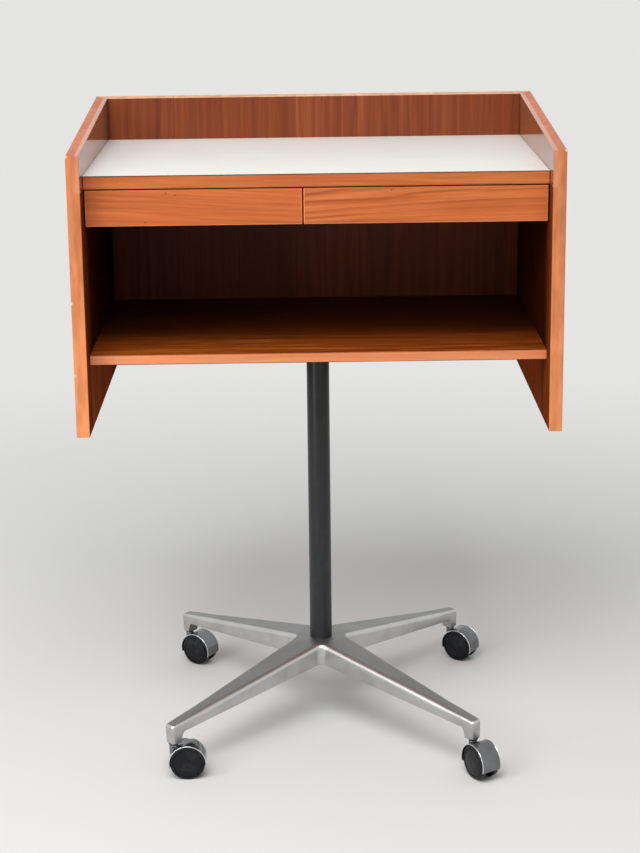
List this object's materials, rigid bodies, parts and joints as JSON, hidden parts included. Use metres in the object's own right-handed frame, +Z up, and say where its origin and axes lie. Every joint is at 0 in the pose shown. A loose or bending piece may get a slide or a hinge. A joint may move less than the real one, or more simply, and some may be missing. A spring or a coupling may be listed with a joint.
{
  "type": "lectern",
  "caption": "Wheeled lectern: open-fronted teak case with a white work surface, drawers below it and a shelf, on a black column with a cast star base on castors.",
  "frame": {"origin": "on the floor, under the middle of the whole object's box", "axes": "+Z up, +X to the right seen from the front, +Y towards the back"},
  "size_m": [0.7, 0.5184, 0.974],
  "materials": {
    "teak": "oiled teak veneer, satin",
    "pale_teak": "solid lipping, paler and satin",
    "white_laminate": "warm white decorative laminate, satin",
    "drawer_wood": "plain wood, matt",
    "black_enamel": "black enamel, satin",
    "cast_aluminium": "satin casting with polished edges",
    "chrome_hood": "chrome plate",
    "steel": "zinc plated",
    "black_plastic": "moulded, satin",
    "black_nylon": "moulded, matt"
  },
  "bodies": {
    "stand": {"back_panel": "teak", "castor_back_left_socket_sleeve": "black_nylon", "castor_back_right_socket_sleeve": "black_nylon", "castor_front_left_socket_sleeve": "black_nylon", "castor_front_right_socket_sleeve": "black_nylon", "column_foot_plug": "steel", "column_mounting_plate": "black_enamel", "column_tube": "black_enamel", "drawer_divider": "drawer_wood", "hub_bolt": "steel", "hub_washer": "steel", "left_drawer_left_runner": "drawer_wood", "left_drawer_right_runner": "drawer_wood", "left_side_panel": "teak", "lower_shelf": "teak", "plate_screw_back_left": "steel", "plate_screw_back_right": "steel", "plate_screw_front_left": "steel", "plate_screw_front_right": "steel", "right_drawer_left_runner": "drawer_wood", "right_drawer_right_runner": "drawer_wood", "right_side_panel": "teak", "shelf_front_lipping": "pale_teak", "star_base": "cast_aluminium", "top_board": "drawer_wood", "top_front_lipping": "teak", "work_surface_laminate": "white_laminate"},
    "left_drawer": {"left_drawer_front": "teak", "left_drawer_left_side": "drawer_wood", "left_drawer_right_side": "drawer_wood", "left_drawer_back": "drawer_wood", "left_drawer_bottom": "drawer_wood"},
    "right_drawer": {"right_drawer_front": "teak", "right_drawer_left_side": "drawer_wood", "right_drawer_right_side": "drawer_wood", "right_drawer_back": "drawer_wood", "right_drawer_bottom": "drawer_wood"},
    "castor_front_left": {"castor_front_left_stem": "steel", "castor_front_left_hood": "chrome_hood", "castor_front_left_axle": "steel"},
    "castor_front_left_outer_wheel": {"castor_front_left_outer_wheel": "black_plastic"},
    "castor_front_left_inner_wheel": {"castor_front_left_inner_wheel": "black_plastic"},
    "castor_front_right": {"castor_front_right_stem": "steel", "castor_front_right_hood": "chrome_hood", "castor_front_right_axle": "steel"},
    "castor_front_right_outer_wheel": {"castor_front_right_outer_wheel": "black_plastic"},
    "castor_front_right_inner_wheel": {"castor_front_right_inner_wheel": "black_plastic"},
    "castor_back_left": {"castor_back_left_stem": "steel", "castor_back_left_hood": "chrome_hood", "castor_back_left_axle": "steel"},
    "castor_back_left_outer_wheel": {"castor_back_left_outer_wheel": "black_plastic"},
    "castor_back_left_inner_wheel": {"castor_back_left_inner_wheel": "black_plastic"},
    "castor_back_right": {"castor_back_right_stem": "steel", "castor_back_right_hood": "chrome_hood", "castor_back_right_axle": "steel"},
    "castor_back_right_outer_wheel": {"castor_back_right_outer_wheel": "black_plastic"},
    "castor_back_right_inner_wheel": {"castor_back_right_inner_wheel": "black_plastic"}
  },
  "joints": [
    {"name": "left_drawer_slide", "type": "slide", "parent": "stand", "child": "left_drawer", "axis": [0, -1, 0], "range_m": [0, 0.28]},
    {"name": "right_drawer_slide", "type": "slide", "parent": "stand", "child": "right_drawer", "axis": [0, -1, 0], "range_m": [0, 0.28]},
    {"name": "castor_front_left_swivel", "type": "hinge", "parent": "stand", "child": "castor_front_left", "pos_m": [-0.22486, -0.20847, 0.05487], "axis": [0, 0, 1], "continuous": true},
    {"name": "castor_front_left_outer_wheel_spin", "type": "hinge", "parent": "castor_front_left", "child": "castor_front_left_outer_wheel", "pos_m": [-0.20406, -0.20828, 0.02617], "axis": [-0.0087, 1, 0], "continuous": true},
    {"name": "castor_front_left_inner_wheel_spin", "type": "hinge", "parent": "castor_front_left", "child": "castor_front_left_inner_wheel", "pos_m": [-0.20406, -0.20828, 0.02617], "axis": [-0.0087, 1, 0], "continuous": true},
    {"name": "castor_front_right_swivel", "type": "hinge", "parent": "stand", "child": "castor_front_right", "pos_m": [0.22486, -0.20847, 0.05487], "axis": [0, 0, 1], "continuous": true},
    {"name": "castor_front_right_outer_wheel_spin", "type": "hinge", "parent": "castor_front_right", "child": "castor_front_right_outer_wheel", "pos_m": [0.23542, -0.22639, 0.02617], "axis": [0.8616, 0.5075, 0], "continuous": true},
    {"name": "castor_front_right_inner_wheel_spin", "type": "hinge", "parent": "castor_front_right", "child": "castor_front_right_inner_wheel", "pos_m": [0.23542, -0.22639, 0.02617], "axis": [0.8616, 0.5075, 0], "continuous": true},
    {"name": "castor_back_left_swivel", "type": "hinge", "parent": "stand", "child": "castor_back_left", "pos_m": [-0.22486, 0.24125, 0.05487], "axis": [0, 0, 1], "continuous": true},
    {"name": "castor_back_left_outer_wheel_spin", "type": "hinge", "parent": "castor_back_left", "child": "castor_back_left_outer_wheel", "pos_m": [-0.20742, 0.22993, 0.02617], "axis": [0.5446, 0.8387, 0], "continuous": true},
    {"name": "castor_back_left_inner_wheel_spin", "type": "hinge", "parent": "castor_back_left", "child": "castor_back_left_inner_wheel", "pos_m": [-0.20742, 0.22993, 0.02617], "axis": [0.5446, 0.8387, 0], "continuous": true},
    {"name": "castor_back_right_swivel", "type": "hinge", "parent": "stand", "child": "castor_back_right", "pos_m": [0.22486, 0.24125, 0.05487], "axis": [0, 0, 1], "continuous": true},
    {"name": "castor_back_right_outer_wheel_spin", "type": "hinge", "parent": "castor_back_right", "child": "castor_back_right_outer_wheel", "pos_m": [0.2419, 0.22932, 0.02617], "axis": [0.5736, 0.8192, 0], "continuous": true},
    {"name": "castor_back_right_inner_wheel_spin", "type": "hinge", "parent": "castor_back_right", "child": "castor_back_right_inner_wheel", "pos_m": [0.2419, 0.22932, 0.02617], "axis": [0.5736, 0.8192, 0], "continuous": true}
  ]
}
